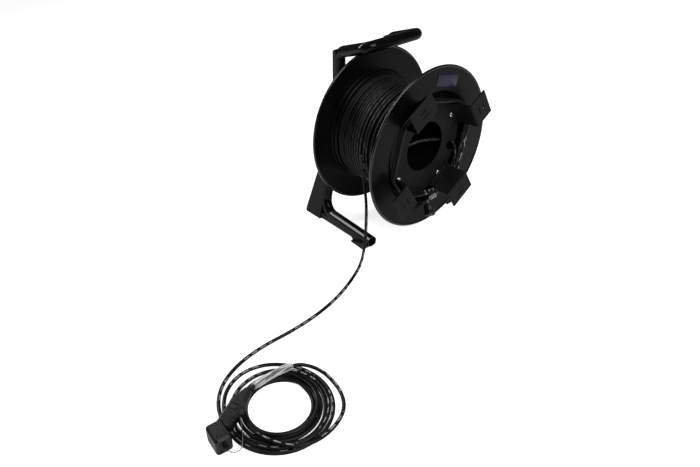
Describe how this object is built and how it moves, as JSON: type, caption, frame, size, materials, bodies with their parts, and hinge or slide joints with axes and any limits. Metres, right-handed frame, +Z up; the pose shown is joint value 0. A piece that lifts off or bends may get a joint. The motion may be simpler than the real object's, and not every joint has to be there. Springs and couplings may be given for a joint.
{
  "type": "portable cable reel",
  "caption": "Black portable cable reel: bent tube frame with carrying grip, open-fronted steel drum, thin black cable wound full, its loose end coiled on the floor in a capped connector.",
  "frame": {"origin": "centre of the reel's outline on the floor, its loose cable left out", "axes": "+Z up, the drum turns about Y and its open side faces -Y, +X to the right seen from the front"},
  "size_m": [0.7444, 0.4618, 0.3645],
  "materials": {
    "gloss_black_paint": "gloss",
    "satin_black_paint": "satin",
    "grey_black_paint": "satin",
    "black_guard_plastic": "matte",
    "bare_steel": "satin",
    "bright_screw": "bright",
    "cable_jacket": "satin",
    "clear_plastic": "gloss",
    "boot_rubber": "matte",
    "connector_plastic": "satin"
  },
  "bodies": {
    "frame": {"frame_tube": "gloss_black_paint", "left_guard": "black_guard_plastic", "right_guard": "black_guard_plastic", "cross_plate": "gloss_black_paint", "axle": "bare_steel", "axle_nut": "bare_steel", "retaining_ring": "bare_steel", "free_cable": "cable_jacket", "cable_coil": "cable_jacket", "cable_end": "cable_jacket", "clear_sleeve": "clear_plastic", "connector_boot": "boot_rubber", "connector_body": "connector_plastic", "dust_cap": "connector_plastic", "cap_lanyard": "bare_steel"},
    "drum": {"front_flange": "satin_black_paint", "rear_flange": "satin_black_paint", "barrel": "satin_black_paint", "hub": "bare_steel", "winding": "cable_jacket", "tail_holder": "grey_black_paint", "holder_spacer_1": "bare_steel", "holder_spacer_2": "bare_steel", "holder_spacer_3": "bare_steel", "holder_spacer_4": "bare_steel", "holder_screw_1": "bright_screw", "holder_screw_2": "bright_screw", "holder_screw_3": "bright_screw", "holder_screw_4": "bright_screw", "inner_tail": "cable_jacket", "tail_sleeve": "clear_plastic", "inner_connector": "connector_plastic"}
  },
  "joints": [
    {"name": "drum_spin", "type": "hinge", "parent": "frame", "child": "drum", "pos_m": [0, -0.01455, 0.177], "axis": [0, 1, 0], "continuous": true}
  ]
}
